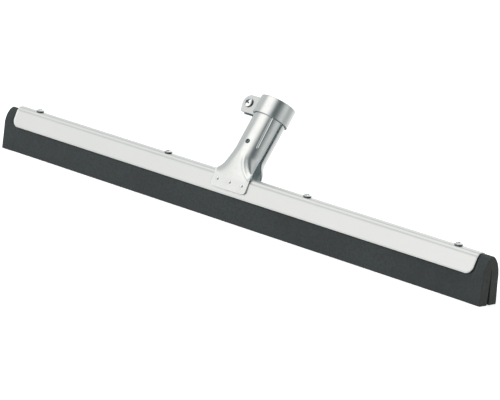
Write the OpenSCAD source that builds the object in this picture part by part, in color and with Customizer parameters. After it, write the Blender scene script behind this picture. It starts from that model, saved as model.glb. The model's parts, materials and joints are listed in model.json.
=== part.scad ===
// Floor squeegee with a folded twin-lip rubber, a sheet-metal rail and a
// pressed handle socket closed by a clamp ring. Sizes are in millimetres.
// Origin: middle of the rubber's foot, on the floor. +X runs along the rail,
// -Y is the front, +Z is up, and the handle socket leans back towards +Y.

/* [Rail] */
// Length of the sheet-metal rail
rail_l = 528; // [300:1:900]
// Height of the rail's top above the floor
rail_top = 38.5; // [36:0.5:50]
// Thickness of the rail's sheet
rail_wall = 1; // [0.8:0.1:1.2]
// Outer half width of the crown at its shoulder
crown_half = 5; // [4.8:0.1:5.6]
// Height of the crown, from its shoulder to the top
crown_h = 3.9; // [3.5:0.1:4.5]
// Half width of the crown's rounded top
top_half = 3; // [2.6:0.1:3.4]
// Rise of the crown's rounded top
top_rise = 0.9; // [0.5:0.1:1.2]
// Outer half width of the rail at its lower edge
flare_half = 10.4; // [10:0.1:13]
// Height of the flared sides, from the shoulder to the lower edge
flare_h = 12.5; // [11:0.1:15]
// Corner radius at the lower ends of the flared sides
rail_corner_r = 7; // [2:0.5:10]

/* [Rubber] */
// Length of the rubber
rubber_l = 550; // [320:1:940]
// Half thickness of the folded rubber at its foot
rubber_half = 9; // [8:0.1:9.5]
// Width of the slit between the two lips at the foot
slit_w = 1.2; // [0.6:0.1:3]
// Width of the slit where it closes
slit_top_w = 0.3; // [0.2:0.1:0.5]
// Height at which the slit closes
slit_h = 29; // [20:0.5:29]

/* [Clamp strip and rail screws] */
// Length of the tapped strip inside the fold
strip_l = 506; // [290:1:880]
// Width of the strip
strip_w = 6; // [5.6:0.1:6.4]
// Thickness of the strip
strip_t = 2.5; // [2:0.1:3]
// Depth of the strip's top face below the rail's top
strip_depth = 6.4; // [6:0.1:7]
// Number of screws along the rail
screw_count = 4; // [4:1:4]
// Distance from one rail screw to the next
screw_pitch = 160; // [80:1:200]
// Shank radius of a rail screw
screw_r = 1.75; // [1.5:0.05:2]
// Head radius of a rail screw
screw_head_r = 3.4; // [3.2:0.1:3.6]
// Head height of a rail screw
screw_head_h = 2.3; // [1.5:0.1:3]
// Length of a rail screw under its head
screw_l = 10.5; // [10:0.1:11]

/* [Handle socket] */
// Angle of the socket's lean back from upright
lean = 33.1; // [30:0.1:38]
// Distance of the socket's axis behind the rail's middle, at the rail's top
axis_back = 5.2; // [4.5:0.1:6]
// Radius of the bore for the handle
bore_r = 12.5; // [12:0.1:13]
// Thickness of the socket's sheet
socket_wall = 1.5; // [1.2:0.1:1.8]
// Distance along the axis from the rail's top to the mouth
mouth_s = 65; // [60:0.5:80]
// Distance along the axis at which the round tube ends and the neck begins
neck_s = 15; // [14:0.5:18]
// Gap along the sides between the two pressed halves
seam_gap = 2.4; // [1:0.1:3]
// Half width of the flanges that lie on the rail
flange_half = 20.2; // [19:0.1:24]
// Height of the flanges' lower edge above the rail's lower edge
flange_lift = 4.1; // [2:0.1:6]
// Radius of the flanges' lower corners
flange_corner_r = 3.5; // [1:0.5:6]
// Radius of the hole for the handle's fixing screw
fix_hole_r = 1.9; // [1.5:0.1:2.5]
// Distance along the axis from the rail's top to the fixing hole
fix_hole_s = 24; // [22:0.5:30]
// Angle round the tube from its front to the fixing hole
fix_hole_turn = 9; // [0:1:20]
// Width of the two grooves pressed into the front half
groove_w = 2.7; // [1.5:0.1:4]
// Depth of the grooves
groove_depth = 0.7; // [0.3:0.1:0.8]
// Angle round the tube from its front to a groove
groove_turn = 54; // [40:1:65]
// Distance along the axis from the rail's top to a groove's lower end
groove_s = 23.5; // [22:0.1:30]
// Distance from the mouth down to a groove's upper end
groove_drop = 5; // [3:0.5:10]

/* [Pressed necks] */
// Drop below the rail's top at which the front half's middle lands on the rail
front_mid_drop = 3.5; // [3:0.1:6]
// Drop at which the front half's side edges land
front_edge_drop = -2; // [-3:0.1:1]
// Drop at which the rear half's middle lands on the rail
rear_mid_drop = 7.5; // [6:0.1:8]
// Drop at which the rear half's side edges land
rear_edge_drop = 7.5; // [5:0.1:8]
// Half width of the shoulder that the rear half's side edges are drawn out to
shoulder_half = 24.5; // [20:0.1:26]
// Distance of that shoulder behind the socket's axis
shoulder_back = 3.2; // [2:0.1:5]
// Distance along the axis from the rail's top to that shoulder
shoulder_s = 4.5; // [3:0.1:9]

/* [Clamp ring] */
// Height of the ring along the socket's axis
ring_h = 15.8; // [12:0.1:18]
// Thickness of the ring's sheet
ring_wall = 1.2; // [1:0.1:1.5]
// Radial gap between the ring and the tube
ring_gap = 0.3; // [0.2:0.05:0.5]
// Distance from the mouth down to the ring's upper edge
ring_drop = -0.8; // [-1:0.1:2]
// Gap between the two ears
ear_gap = 3.8; // [3:0.1:5]
// Distance of the ears' screw from the socket's axis
ear_x = 27.4; // [24:0.1:30]
// Radius of the ears' round upper end, about the screw
ear_round_r = 7; // [5:0.1:7.5]
// Radius of the ears' lower end corner
ear_corner_r = 1.6; // [1:0.1:3]
// Distance of the ears' lower end corner beyond the screw
ear_foot_reach = 4.6; // [3:0.1:5]
// Radius of the fillet between the ring and each ear
ear_fillet_r = 1.5; // [0.5:0.1:2]

/* [Clamp screw and nut] */
// Shank radius of the clamp screw
bolt_r = 2; // [1.9:0.05:2.1]
// Head radius of the clamp screw
bolt_head_r = 4; // [3.8:0.1:4.5]
// Head height of the clamp screw
bolt_head_h = 2.6; // [2:0.1:3]
// Length of the clamp screw under its head
bolt_l = 12; // [11:0.1:16]
// Width across the nut's flats
nut_flats = 7; // [6.5:0.1:8]
// Height of the nut
nut_h = 3.2; // [2.5:0.1:4]

/* [Clearances] */
// Gap between the rubber and the sheet and strip that grip it
grip_gap = 0.15; // [0.1:0.05:0.3]
// Radial gap round a screw's shank in a plain hole
hole_gap = 0.25; // [0.2:0.05:0.4]
// Radial gap round a screw's shank in its thread
thread_gap = 0.05; // [0.03:0.01:0.08]
// Gap under a screw's head and under the nut
seat_gap = 0.05; // [0.02:0.01:0.1]

/* [Hidden] */
$fn = 96;
// Overlap that carries a cut past the surface that it opens
cut = 1;
// Overlap that joins two forms of one piece
lap = 0.1;

// Rail: the shoulder under the crown, the lower edge and the slope between
shoulder_z = rail_top - crown_h;
flare_z = shoulder_z - flare_h;
flare_tan = (flare_half - crown_half) / flare_h;
flare_angle = atan(flare_tan);
// Radius of the crown's rounded top, and the angle that half of it turns
top_r = (top_half * top_half + top_rise * top_rise) / (2 * top_rise);
top_turn = asin(top_half / top_r);

// The rubber is gripped this far inside the rail's outer face
grip = rail_wall + grip_gap;
// Height at which the sloping sides of the rubber meet its upright sides
waist_z = flare_z + (flare_half - grip / cos(flare_angle) - rubber_half) / flare_tan;

strip_z = rail_top - strip_depth - strip_t;
// Share of a screw head's height that is upright, under its dome
head_edge = 0.45;

// Socket: the tube, and the ring round it
tube_r = bore_r + socket_wall;
// Radius of the grooves' round section
groove_r = (groove_w * groove_w / 4 + groove_depth * groove_depth) / (2 * groove_depth);
ring_in = tube_r + ring_gap;
ring_out = ring_in + ring_wall;
ring_top_s = mouth_s - ring_drop;
ring_s = ring_top_s - ring_h;
ear_out = ear_gap / 2 + ring_wall;
ear_end = ear_x + ear_round_r;
// The ears' screw sits at the middle of their round end, under the ring's upper edge
bolt_s = ring_top_s - ear_round_r;

flange_z = flare_z + flange_lift;
// Upward directions of the socket's axis, and of the rail's front (-1) or rear (1) slope
stem_up = [0, sin(lean), cos(lean)];
function face_up(side) = [0, -side * sin(flare_angle), cos(flare_angle)];

// Drawing thins the necks' sheet: its faces lie this far inside the tube's faces
neck_step = 0.15;
neck_wall = socket_wall - 2 * neck_step;
neck_r = tube_r - neck_step;
// Straight part of a neck under the tube's end, and its reach up into the tube's wall
neck_collar = 0.5;
neck_tongue = 1;
// Angle by which a neck stops short of its half's side
seam_turn = asin((seam_gap / 2 + neck_step) / (bore_r + neck_step));
// Rows down a neck and down its flange, and columns across them
neck_rows = 14;
flange_rows = 3;
neck_cols = 24;
// Crowding of the columns towards the sides: 0 spaces them evenly
column_round = 0.3;

// Each half's side, then the drop and the reach of the two bends of its middle line,
// then the same of its side edges, with the shoulder that they are drawn out to
FRONT_HALF = [-1, front_mid_drop, [9.5, 9], front_edge_drop, [12, 3], []];
REAR_HALF = [1, rear_mid_drop, [8.5, 5], rear_edge_drop, [8, 5],
             [on_stem(shoulder_half, shoulder_back, shoulder_s)]];

// One side of the rail's outer face, from the top to the lower edge, as [half width, height]
rail_side = concat(
    [for (i = [0 : 6]) let (turn = top_turn * i / 6)
        [top_r * sin(turn), rail_top - top_r + top_r * cos(turn)]],
    [[crown_half, shoulder_z], [flare_half, flare_z]]);

// The direction square to the step from p to q, on its inner side
function inward(p, q) = [q[1] - p[1], p[0] - q[0]] / norm(q - p);

// The side's path moved inwards by a distance: each corner keeps its mitre, the top
// stays on the middle line and the foot stays on the lower edge's height
function inset(path, distance) = [for (i = [0 : len(path) - 1])
    i == 0 ? path[0] - [0, distance]
    : i == len(path) - 1 ? path[i] - [distance / cos(flare_angle), 0]
    : let (a = inward(path[i - 1], path[i]), b = inward(path[i], path[i + 1]))
        path[i] + distance * (a + b) / (1 + a * b)];

// A side's points followed by its mirror image, as one closed outline
function both_sides(side) = concat(
    [for (p = side) [p[0], p[1]]],
    [for (i = [len(side) - 1 : -1 : 0]) [-side[i][0], side[i][1]]]);

// Carries a profile drawn in the Y-Z plane along X
module along_x(length) {
    rotate([90, 0, 90])
        translate([0, 0, -length / 2])
            linear_extrude(length)
                children();
}

// Moves what is drawn on the socket's own axis to its place on the rail
module on_socket() {
    translate([0, axis_back, rail_top])
        rotate([-lean, 0, 0])
            children();
}

// Puts a copy at each rail screw
module at_rail_screw(index) {
    translate([(index - (screw_count + 1) / 2) * screw_pitch, 0, 0])
        children();
}

// Square corner left outside a rounding of the given radius
module corner_waste(radius) {
    difference() {
        translate([-cut, -cut])
            square(radius + cut);
        translate([radius, radius])
            circle(radius);
    }
}

// Pan head with a domed top, standing on its seat
module pan_head(radius, height) {
    dome_h = height * (1 - head_edge);
    dome_r = (radius * radius + dome_h * dome_h) / (2 * dome_h);
    intersection() {
        cylinder(r = radius, h = height);
        translate([0, 0, height - dome_r])
            sphere(dome_r);
    }
}

module channel() {
    below = [flare_half - rail_wall / cos(flare_angle) + cut * flare_tan, flare_z - cut];
    color("#e3e5e5")
        difference() {
            along_x(rail_l)
                difference() {
                    polygon(both_sides(rail_side));
                    polygon(both_sides(concat(inset(rail_side, rail_wall), [below])));
                }
            for (side = [-1, 1])
                mirror([side < 0 ? 1 : 0, 0, 0])
                    translate([rail_l / 2, flare_half + cut, flare_z])
                        rotate([90, 0, 0])
                            linear_extrude(2 * (flare_half + cut))
                                mirror([1, 0])
                                    corner_waste(rail_corner_r);
            for (i = [1 : screw_count])
                at_rail_screw(i)
                    translate([0, 0, rail_top - rail_wall - cut])
                        cylinder(r = screw_r + hole_gap, h = rail_wall + 2 * cut);
        }
}

module blade() {
    gripped = inset(rail_side, grip);
    side = concat([for (i = [0 : len(gripped) - 2]) gripped[i]],
        [[rubber_half, waist_z], [rubber_half, 0]]);
    color("#454c4e")
        difference() {
            along_x(rubber_l)
                difference() {
                    polygon(both_sides(side));
                    polygon([[-slit_top_w / 2, slit_h], [slit_top_w / 2, slit_h],
                             [slit_w / 2, 0], [slit_w / 2, -cut],
                             [-slit_w / 2, -cut], [-slit_w / 2, 0]]);
                }
            translate([-strip_l / 2 - grip_gap, -strip_w / 2 - grip_gap, strip_z - grip_gap])
                cube([strip_l + 2 * grip_gap, strip_w + 2 * grip_gap, strip_t + 2 * grip_gap]);
            for (i = [1 : screw_count])
                at_rail_screw(i)
                    translate([0, 0, rail_top - screw_l - 2 * cut])
                        cylinder(r = screw_r + hole_gap, h = screw_l + 2 * cut);
        }
}

module clamp_strip() {
    color("#b9bdbd")
        difference() {
            translate([-strip_l / 2, -strip_w / 2, strip_z])
                cube([strip_l, strip_w, strip_t]);
            for (i = [1 : screw_count])
                at_rail_screw(i)
                    translate([0, 0, strip_z - cut])
                        cylinder(r = screw_r + thread_gap, h = strip_t + 2 * cut);
        }
}

module rail_screw(index) {
    color("#cdd1d1")
        at_rail_screw(index)
            translate([0, 0, rail_top + seat_gap]) {
                pan_head(screw_head_r, screw_head_h);
                translate([0, 0, -screw_l])
                    cylinder(r = screw_r, h = screw_l + lap);
            }
}

// A point at the given distances beside, behind and along the socket's axis
function on_stem(beside, behind, along) = [
    beside,
    axis_back + behind * cos(lean) + along * sin(lean),
    rail_top - behind * sin(lean) + along * cos(lean)];

// A point on a flange's outer face at a height; side is -1 in front, 1 behind
function on_flange(side, beside, height) = [
    beside,
    side * (crown_half + (shoulder_z - height) * flare_tan + neck_wall / cos(flare_angle)),
    height];

// The point at t of the Bezier curve with the given control points
function bezier(points, t) = len(points) == 1
    ? points[0]
    : bezier([for (i = [1 : len(points) - 1]) (1 - t) * points[i - 1] + t * points[i]], t);

// A line down a neck: t is 0 near the tube, 1 where it lands on the rail and 2 at the foot
function neck_line(side, start, flange_x, drop, bends, shoulder, t) = let (
    land = on_flange(side, flange_x, rail_top - drop),
    foot = on_flange(side, flange_x, flange_z),
    leaving = start - bends[0] * stem_up,
    landing = land + bends[1] * face_up(side))
    t <= 1
        ? bezier(concat([start, leaving], shoulder, [landing, land]), t)
        : land + (t - 1) * (foot - land);

// A point of the neck's outer face: w runs from -1 to 1 across, t from 0 to 2 down.
// Its section is half an ellipse, from the tube's half circle to the flat flange.
function neck_point(half, w, t) = let (
    side = half[0],
    top_s = neck_s - neck_collar,
    middle = neck_line(side, on_stem(0, side * neck_r, top_s), 0, half[1], half[2], [], t),
    edge = neck_line(side, on_stem(neck_r, 0, top_s), flange_half, half[3], half[4], half[5], t),
    turn = (90 - seam_turn) * w)
    [edge[0] * sin(turn),
     edge[1] + (middle[1] - edge[1]) * cos(turn),
     edge[2] + (middle[2] - edge[2]) * cos(turn)];

// The neck's inward direction at a point, square to its outer face
function neck_inward(half, w, t) = let (
    step = 0.01,
    across = neck_point(half, min(w + step, 1), t) - neck_point(half, max(w - step, -1), t),
    down = neck_point(half, w, t + step) - neck_point(half, w, max(t - step, 0)),
    square_to = cross(across, down))
    -half[0] * square_to / norm(square_to);

// The pressed neck and flange of one half, as a sheet of even thickness whose top
// row stands inside the tube's wall
module pressed_neck(half) {
    rows = neck_rows + flange_rows;
    steps = [for (i = [0 : neck_cols]) 2 * i / neck_cols - 1];
    across = [for (u = steps) column_round * sin(90 * u) + (1 - column_round) * u];
    down = [for (j = [0 : rows]) j <= neck_rows ? j / neck_rows : 1 + (j - neck_rows) / flange_rows];
    outer = [for (t = down) [for (w = across) neck_point(half, w, t)]];
    inner = [for (t = down) [for (w = across)
        neck_point(half, w, t) + neck_wall * neck_inward(half, w, t)]];
    tongue = (neck_collar + neck_tongue) * stem_up;
    all_outer = concat([[for (p = outer[0]) p + tongue]], outer);
    all_inner = concat([[for (p = inner[0]) p + tongue]], inner);
    last = rows + 1;
    width = neck_cols + 1;
    base = (last + 1) * width;
    function at(j, i) = j * width + i;
    skin = [for (j = [0 : last - 1]) for (i = [0 : neck_cols - 1]) each [
        [at(j, i), at(j, i + 1), at(j + 1, i + 1)],
        [at(j, i), at(j + 1, i + 1), at(j + 1, i)]]];
    lining = [for (f = skin) [base + f[2], base + f[1], base + f[0]]];
    ends = [for (i = [0 : neck_cols - 1]) each [
        [at(0, i), base + at(0, i), base + at(0, i + 1)],
        [at(0, i), base + at(0, i + 1), at(0, i + 1)],
        [at(last, i + 1), base + at(last, i + 1), base + at(last, i)],
        [at(last, i + 1), base + at(last, i), at(last, i)]]];
    edges = [for (j = [0 : last - 1]) each [
        [at(j, 0), at(j + 1, 0), base + at(j + 1, 0)],
        [at(j, 0), base + at(j + 1, 0), base + at(j, 0)],
        [at(j + 1, neck_cols), at(j, neck_cols), base + at(j, neck_cols)],
        [at(j + 1, neck_cols), base + at(j, neck_cols), base + at(j + 1, neck_cols)]]];
    faces = concat(skin, lining, ends, edges);
    points = concat([for (row = all_outer) each row], [for (row = all_inner) each row]);
    // Faces of the front half turn the other way from those of the rear half
    polyhedron(points, half[0] < 0 ? faces : [for (f = faces) [f[2], f[1], f[0]]], convexity = 6);
}

// The tube's half on one side of the seam
module half_tube(side) {
    height = mouth_s - neck_s;
    reach = tube_r + cut;
    translate([0, 0, neck_s])
        difference() {
            cylinder(r = tube_r, h = height);
            translate([0, 0, -cut])
                cylinder(r = bore_r, h = height + 2 * cut);
            translate([-reach, side < 0 ? -seam_gap / 2 : -reach, -cut])
                cube([2 * reach, reach + seam_gap / 2, height + 2 * cut]);
        }
}

// One half of the handle socket: half the tube, the neck and the flange
module socket_half(half) {
    difference() {
        union() {
            on_socket()
                half_tube(half[0]);
            pressed_neck(half);
        }
        flange_corner_cuts(half[0]);
    }
}

// Rounds off the two lower corners of a flange
module flange_corner_cuts(side) {
    for (hand = [-1, 1])
        mirror([hand < 0 ? 1 : 0, 0, 0])
            translate(on_flange(side, flange_half, flange_z))
                rotate([90 - side * flare_angle, 0, 0])
                    translate([0, 0, -3 * socket_wall])
                        linear_extrude(6 * socket_wall)
                            mirror([1, 0])
                                corner_waste(flange_corner_r);
}

// What a straight groove with round ends takes from the front of the tube
module groove(turn) {
    low_s = groove_s + groove_w / 2;
    high_s = mouth_s - groove_drop - groove_w / 2;
    rotate([0, 0, turn])
        translate([0, -(tube_r + groove_r - groove_depth), 0]) {
            translate([0, 0, low_s])
                cylinder(r = groove_r, h = high_s - low_s);
            for (end_s = [low_s, high_s])
                translate([0, 0, end_s])
                    sphere(groove_r);
        }
}

module socket_front() {
    color("#b4bbbb")
        difference() {
            socket_half(FRONT_HALF);
            on_socket() {
                for (hand = [-1, 1])
                    groove(hand * groove_turn);
                rotate([0, 0, fix_hole_turn])
                    translate([0, 0, fix_hole_s])
                        rotate([90, 0, 0])
                            cylinder(r = fix_hole_r, h = tube_r + cut);
            }
        }
}

module socket_rear() {
    color("#8d9696")
        socket_half(REAR_HALF);
}

// The ring's section across the socket's axis, with its two ears and their fillets
module ring_section() {
    ear_length = ear_end - ring_in;
    // Where a fillet touches both the ear's outer face and the ring's outer face
    fillet_y = ear_out + ear_fillet_r;
    fillet_x = sqrt(pow(ring_out + ear_fillet_r, 2) - fillet_y * fillet_y);
    touch = ring_out / (ring_out + ear_fillet_r);
    difference() {
        union() {
            circle(ring_out);
            for (side = [-1, 1])
                mirror([0, side < 0 ? 1 : 0]) {
                    translate([-ear_end, ear_gap / 2])
                        square([ear_length, ring_wall]);
                    difference() {
                        translate([-fillet_x, ear_gap / 2])
                            square([fillet_x * (1 - touch) + ring_wall / 2,
                                    touch * fillet_y - ear_gap / 2]);
                        translate([-fillet_x, fillet_y])
                            circle(ear_fillet_r);
                    }
                }
        }
        circle(ring_in);
        translate([-ear_end - cut, -ear_gap / 2])
            square([ear_end + cut, ear_gap]);
    }
}

// The ears' outline seen along the screw: a round end about the screw, and a slanting
// edge that touches it and the rounding of the lower corner
module ear_outline() {
    foot = [-ear_x - ear_foot_reach + ear_corner_r, ring_s + ear_corner_r];
    crown = [-ear_x, bolt_s];
    span = foot - crown;
    // Direction square to the slanting edge
    slant = atan2(span[1], span[0]) - acos((ear_round_r - ear_corner_r) / norm(span));
    out = [cos(slant), sin(slant)];
    translate(crown)
        circle(ear_round_r);
    translate(foot)
        circle(ear_corner_r);
    polygon([crown + [0, ear_round_r], crown + ear_round_r * out, foot + ear_corner_r * out,
             foot - [0, ear_corner_r], [0, ring_s], [0, ring_top_s]]);
}

// What the ring's strip loses beyond the ears' outline
module ear_waste() {
    translate([0, ear_out + cut, 0])
        rotate([90, 0, 0])
            linear_extrude(2 * (ear_out + cut))
                difference() {
                    translate([-ear_end - cut, ring_s - cut])
                        square([ear_end + cut - ring_out, ring_h + 2 * cut]);
                    ear_outline();
                }
}

module clamp_ring() {
    color("#a9b0b1")
        on_socket()
            difference() {
                translate([0, 0, ring_s])
                    linear_extrude(ring_h)
                        ring_section();
                ear_waste();
                translate([-ear_x, ear_out + cut, bolt_s])
                    rotate([90, 0, 0])
                        cylinder(r = bolt_r + hole_gap, h = 2 * (ear_out + cut));
            }
}

// Puts what is drawn upright on the clamp screw's axis, head end at the front
module on_bolt(behind) {
    on_socket()
        translate([-ear_x, behind, bolt_s])
            rotate([90, 0, 0])
                children();
}

module clamp_screw() {
    color("#cdd1d1")
        on_bolt(-ear_out - seat_gap) {
            pan_head(bolt_head_r, bolt_head_h);
            translate([0, 0, -bolt_l])
                cylinder(r = bolt_r, h = bolt_l + lap);
        }
}

module clamp_nut() {
    color("#c4c8c8")
        on_bolt(ear_out + seat_gap + nut_h)
            difference() {
                cylinder(r = nut_flats / 2 / cos(30), h = nut_h, $fn = 6);
                translate([0, 0, -cut])
                    cylinder(r = bolt_r + thread_gap, h = nut_h + 2 * cut);
            }
}

channel();
blade();
clamp_strip();
rail_screw(1);  // rail_screw_1
rail_screw(2);  // rail_screw_2
rail_screw(3);  // rail_screw_3
rail_screw(4);  // rail_screw_4
socket_front();
socket_rear();
clamp_ring();
clamp_screw();
clamp_nut();
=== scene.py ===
"""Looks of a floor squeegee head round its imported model: the folded foam rubber, the sheet-metal
rail, the pressed handle socket with its clamp ring, the screws and the nut.

Shapes are worked out in millimetres in the model's own frame and become metres when a mesh is
made. Each surface is a grid of points, which is a function of two parameters, and each piece is
a closed set of such grids.
"""

import json

import bmesh
import bpy
import numpy as np
from mathutils import Matrix, Vector


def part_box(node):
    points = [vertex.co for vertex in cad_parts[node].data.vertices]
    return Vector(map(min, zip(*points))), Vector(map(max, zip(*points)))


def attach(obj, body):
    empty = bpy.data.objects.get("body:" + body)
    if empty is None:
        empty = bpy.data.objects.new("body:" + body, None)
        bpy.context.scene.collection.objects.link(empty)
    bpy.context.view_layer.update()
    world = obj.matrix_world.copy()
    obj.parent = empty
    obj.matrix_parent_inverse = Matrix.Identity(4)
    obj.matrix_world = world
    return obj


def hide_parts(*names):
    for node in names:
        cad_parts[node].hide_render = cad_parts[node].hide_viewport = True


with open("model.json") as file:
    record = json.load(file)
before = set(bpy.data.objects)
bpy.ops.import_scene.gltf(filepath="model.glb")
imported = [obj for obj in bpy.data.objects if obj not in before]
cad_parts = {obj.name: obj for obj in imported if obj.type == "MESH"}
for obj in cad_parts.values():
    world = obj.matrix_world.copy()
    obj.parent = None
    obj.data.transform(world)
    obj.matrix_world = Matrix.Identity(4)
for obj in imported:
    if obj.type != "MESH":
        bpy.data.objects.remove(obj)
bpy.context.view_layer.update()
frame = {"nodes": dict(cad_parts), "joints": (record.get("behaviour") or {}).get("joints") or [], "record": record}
MM = 0.001

# Numbers of a piece's finishes after the outer face's: cut edges, partly darkened as painted shade,
# or a screw's rim and recess, painted dark as shade; the inner face; weld spots
CUT_AND_SHADE = 1
INSIDE = 2
WELD_SPOT = 3

# Small step of a parameter, for a surface's slopes
STEP = 1e-3


def node_box(node):
    """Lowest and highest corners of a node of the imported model, in millimetres."""
    low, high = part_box(node)
    return np.array(low) / MM, np.array(high) / MM


def named(rows, name):
    """The row of a list that has this name."""
    return [row for row in rows if row["name"] == name][0]


# Rail
(_, _, RAIL_FOOT), (RAIL_HALF_L, FLARE_HALF, RAIL_TOP) = node_box("channel")
RAIL_WALL = 1.0
CROWN_HALF = 5.0
CROWN_H = 3.9
# Half the crown's section: its corners, as (beside the middle, below the top), and its bends
CROWN_CORNERS = ((0, 0), (3.2, 0.35), (3.95, 2.2), (5.05, 3.35))
CROWN_BENDS = (1.6, 1.1, 1.5)
RAIL_CORNER_R = 7.0
SHOULDER_Z = RAIL_TOP - CROWN_H
FLARE_TAN = (FLARE_HALF - CROWN_HALF) / (SHOULDER_Z - RAIL_FOOT)
FLARE_COS = np.cos(np.arctan(FLARE_TAN))
FLARE_SIN = np.sin(np.arctan(FLARE_TAN))
# The sheet's sheared edges stand out a little
RAIL_LIP = 0.3
RAIL_LIP_WIDTH = 0.55
# From this far below the shoulder the face is drawn together towards the rounded corners
DRAWN_BELOW = 1.5

# Rubber
RUBBER_HALF_L, RUBBER_HALF = node_box("blade")[1][:2]
# The fold's top lies this far below the crown's
GRIP = 1.15
RUBBER_BENDS = (1.6, 2.5, 3.0)
SLIT_HALF = 0.6
SLIT_TOP_HALF = 0.15
SLIT_Z = 29.0
# Free ends: the arch starts at this height; its crown's height at the left and right end
ARCH_Z = 21.0
ARCH_CROWNS = (35.8, 38.2)
# The slit gapes this much more on each side over this length at the ends
SLIT_GAPE = 0.85
SLIT_GAPE_L = 16.0
# The front and rear lip's cut foot is dished this deep; the free ends' lips spread this much
FOOT_DISHES = (1.1, 0.5)
FOOT_SPREAD = 0.55
# Slight waves along the lips: height, length over 2 pi, and shift
LIP_WAVES = ((0.06, 31.0, 0.0), (0.05, 13.7, 1.1))
# Rounding of the ends' edges: how deep, and how far along
END_ROUND_DEPTH = 0.5
END_ROUND_L = 0.6
# Slanting crease in an end's front lip, and a seam down the rubber's cut thickness, whose place
# and half width are shares of that thickness
CREASE_Y = -7.1
CREASE_Z = 29.5
CREASE_SLANT = 0.68
CREASE_HALF = 0.55
CREASE_DEPTH = 0.5
END_SEAM_AT = 0.45
END_SEAM_HALF = 0.05
END_SEAM_DEPTH = 0.18

# Screws
RAIL_HEAD_R = np.ptp(node_box("rail_screw_1"), axis=0)[0] / 2
RAIL_SHANK_R = 1.75
RAIL_HEAD_H = 2.3
RAIL_SHANK_L = 10.4
BOLT_HEAD_R = 4.0
BOLT_HEAD_H = 2.6
BOLT_R = 2.0
BOLT_L = 11.9
NUT_FLATS = 7.0
NUT_H = 3.2
NUT_CUT = 0.1
BORE_GAP = 0.05
SEAT_GAP = 0.05
THREAD_PITCH = 0.7
THREAD_DEPTH = 0.34
TIP_TAPER = 0.35
TIP_L = 0.8
# The share of a head's height that its edge takes, and the rounding under it
HEAD_EDGE = 0.45
HEAD_ROUND_R = 0.35
# Cross recess: its arms' reach and half width and its depth at the middle, in head radii, and
# what the depth loses in each millimetre from there
RECESS_REACH = 0.62
RECESS_HALF = 0.135
RECESS_DEPTH = 0.42
RECESS_SLOPE = 0.3

# Socket: the frame of its axis comes from the handle mount; S names a place along it
HANDLE = named(frame["record"]["mounts"], "handle_socket")
STEM_UP = np.array(HANDLE["axis"], float)
STEM_UP /= np.linalg.norm(STEM_UP)
STEM_BACK = np.array([0.0, STEM_UP[2], -STEM_UP[1]])
MOUTH_S = 65.0
STEM_FOOT = np.array(HANDLE["pos_m"], float) / MM - MOUTH_S * STEM_UP
SOCKET_WALL = 1.5
TUBE_R = HANDLE["dims"]["r_mm"] + SOCKET_WALL
SEAM_GAP = 2.4
NECK_WALL = 1.2
FLANGE_HALF = 20.2
FLANGE_FOOT = RAIL_FOOT + 4.1
FLANGE_CORNER_R = 3.5
# Sheared edges are rounded over this width, with a section flattened by this power
EDGE = 0.3
RIM_POWER = 0.6

FIX_HOLE_R = 1.9
FIX_HOLE_S = 24.0
FIX_HOLE_TURN = np.radians(9)
# Rounding of the hole's edge
HOLE_ROUND = 0.25
# Two straight grooves in the front half, which grip the handle: the angle from the middle at
# their upper and lower ends, their depth, half their width and the places of their ends
GROOVE_TURNS = np.radians([45.3, 49.8])
GROOVE_DEPTH = 0.36
GROOVE_HALF = 1.05
GROOVE_S = 22.6
GROOVE_TOP_S = 58.65
# Where between the middle (w = 0) and the side edge (w = 1) the columns follow the grooves
GROOVE_REACH = (0.2, 0.5, 0.68, 0.95)
# Three spot welds on each flange
WELD_PITCH = 14.0
WELD_Z = 32.5
WELD_R = 1.15
WELD_DEPTH = 0.6
# A weld's spot is where its sink is over this share of its depth
WELD_SPOT_SHARE = 0.7
# A weld's faint raised ring: height, and place and half width in weld radii
WELD_RING_H = 0.08
WELD_RING_AT = 1.45
WELD_RING_HALF = 0.3

# Clamp ring
RING_H = 15.8
RING_TOP_S = MOUTH_S + 0.8
RING_S = RING_TOP_S - RING_H
RING_WALL = 1.2
RING_IN = TUBE_R + 0.3
EAR_GAP = 3.8
EAR_ROUND_R = 7.0
EAR_CORNER_R = 1.6
EAR_FOOT_REACH = 4.6
EAR_FILLET_R = 1.5
EAR_OUT = EAR_GAP / 2 + RING_WALL
BOLT_AT = np.array(named(frame["joints"], "clamp_screw_turn")["pos_m"], float) / MM
EAR_X = -BOLT_AT[0]
BOLT_S = (BOLT_AT - STEM_FOOT) @ STEM_UP

# Each half: its side; where its neck starts; the drop and the bends' reach of its middle line
# and of its side edges; the shoulder that the edges are drawn out to; its section's power and
# its side walls' lean, each for left and right; and where down the neck they lean most
FRONT_HALF = dict(side=-1, neck_s=20.0, mid_drop=3.5, mid_bends=(14, 3), edge_drop=-0.6,
                  edge_bends=(12.2, 3.2), shoulder=None, power=(2.7, 3.05), lean=(0.08, 0.25),
                  lean_t=0.23)
REAR_HALF = dict(side=1, neck_s=15.0, mid_drop=7.5, mid_bends=(8.5, 5), edge_drop=7.5,
                 edge_bends=(8, 5), shoulder=(24.5, 3.2, 4.5), power=(2.6, 2.6), lean=(0, 0),
                 lean_t=0.5)
# Angle from the middle of a half to its side edge
HALF_TURN = np.pi / 2 - np.arcsin((SEAM_GAP / 2 + EDGE) / TUBE_R)
# Stretch of t over which the section's power comes and goes
POWER_FADE = (0.0, 0.4, 0.9, 1.2)
# Rolled ridge on the right side of the front neck's plate: its crest's w at the neck's start and
# the growth with the square of t, its height and half width, and its stretch of t
ROLL_START = 0.33
ROLL_SPREAD = 0.48
ROLL_H = 0.6
ROLL_HALF = 0.075
ROLL_FADE = (0.05, 0.4, 0.9, 1.25)


def unit(vectors):
    """The same directions with length one."""
    return vectors / np.maximum(np.linalg.norm(vectors, axis=-1, keepdims=True), 1e-12)


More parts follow.
